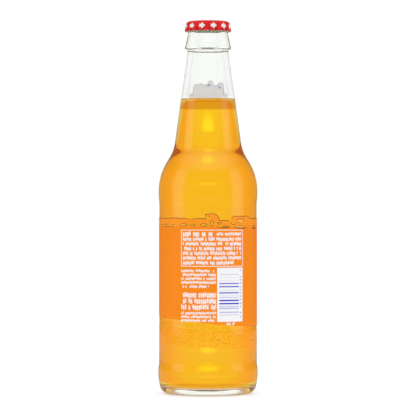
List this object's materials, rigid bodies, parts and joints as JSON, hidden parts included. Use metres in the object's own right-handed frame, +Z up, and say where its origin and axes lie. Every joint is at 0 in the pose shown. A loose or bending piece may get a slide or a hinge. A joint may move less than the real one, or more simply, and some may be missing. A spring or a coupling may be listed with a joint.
{
  "type": "glass soda bottle",
  "caption": "Filled clear glass long-neck drinks bottle with wraparound film labels, closed by a fluted metal twist-off crown that unscrews and lifts off its threads.",
  "frame": {"origin": "centre of the base, on the plane the bottle stands on", "axes": "+Z up the bottle's axis to the crown; -Y faces out of the small-print side, +Y out of the neck label"},
  "size_m": [0.061, 0.061, 0.2279],
  "materials": {
    "glass": "clear flint glass, gloss",
    "soda": "clear orange drink",
    "body_label": "printed clear film",
    "neck_label": "printed film, pale on its glue side",
    "liner": "moulded sealing compound",
    "crown": "gloss red lacquer on tinplate, with white arrows"
  },
  "bodies": {
    "bottle": {"glass_bottle": "glass", "soda": "soda", "body_label": "body_label", "neck_label": "neck_label"},
    "liner": {"crown_liner": "liner"},
    "crown": {"crown_shell": "crown"}
  },
  "joints": [
    {"name": "crown_lift", "type": "slide", "parent": "bottle", "child": "liner", "axis": [0, 0, 1], "range_m": [0, 0.0064]},
    {"name": "crown_twist", "type": "hinge", "parent": "liner", "child": "crown", "pos_m": [0, 0, 0.225], "axis": [0, 0, 1], "range_deg": [0, 360]}
  ],
  "couplings": [
    {"joint": "crown_lift", "follows": "crown_twist", "m_per_rad": 0.0010106}
  ]
}
